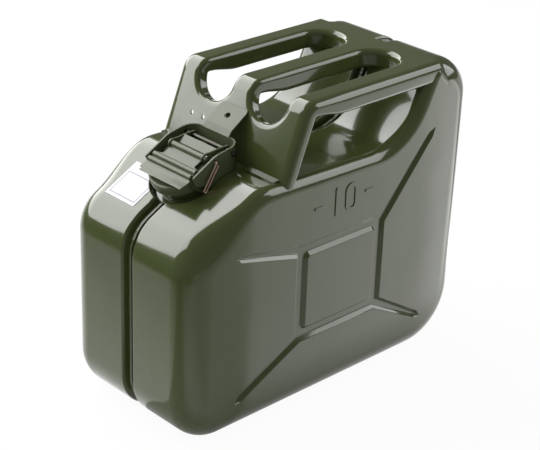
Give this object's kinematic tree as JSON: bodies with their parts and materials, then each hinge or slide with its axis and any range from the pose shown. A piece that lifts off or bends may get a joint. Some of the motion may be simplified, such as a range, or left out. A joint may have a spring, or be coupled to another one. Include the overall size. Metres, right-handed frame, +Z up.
{
  "type": "jerry can",
  "caption": "Pressed-steel fuel can with ribbed faces, side-by-side carrying grips and a hinged cap clamped by a cam lever.",
  "frame": {"origin": "middle of the footprint, at the height of the face the can stands on", "axes": "+X from the filler end to the plain end along the length, +Y across the depth, +Z up"},
  "size_m": [0.345, 0.165, 0.294],
  "materials": {
    "olive_paint": "glossy enamel",
    "bright_steel": "bright zinc",
    "copper_wire": "copper-coloured wire",
    "black_rubber": "matt",
    "label_paper": "plain white sticker"
  },
  "bodies": {
    "can": {"tank_half_near": "olive_paint", "tank_half_far": "olive_paint", "seam_weld": "olive_paint", "handle_front_plate": "olive_paint", "grip_near": "olive_paint", "grip_middle": "olive_paint", "grip_far": "olive_paint", "handle_rear_bridge": "olive_paint", "filler_neck": "olive_paint", "neck_collar": "olive_paint", "neck_lug_near": "bright_steel", "neck_lug_far": "bright_steel", "vent_tube": "olive_paint", "hinge_yoke": "olive_paint", "hinge_pin": "bright_steel", "label": "label_paper"},
    "cap": {"cap_lid": "olive_paint", "cap_gasket": "black_rubber", "seal_plate": "bright_steel", "cap_bracket": "olive_paint", "lever_pin": "bright_steel"},
    "lever": {"cam_lever": "olive_paint"},
    "pin_wire": {"retaining_pin": "copper_wire"}
  },
  "joints": [
    {"name": "cap_hinge", "type": "hinge", "parent": "can", "child": "cap", "pos_m": [-0.08105, 0, 0.24505], "axis": [0, 1, 0], "range_deg": [0, 100]},
    {"name": "lever_pivot", "type": "hinge", "parent": "cap", "child": "lever", "pos_m": [-0.10462, 0, 0.24312], "axis": [0, 1, 0], "range_deg": [0, 75]},
    {"name": "pin_pull", "type": "slide", "parent": "can", "child": "pin_wire", "axis": [0, -1, 0], "range_m": [0, 0.012]}
  ]
}
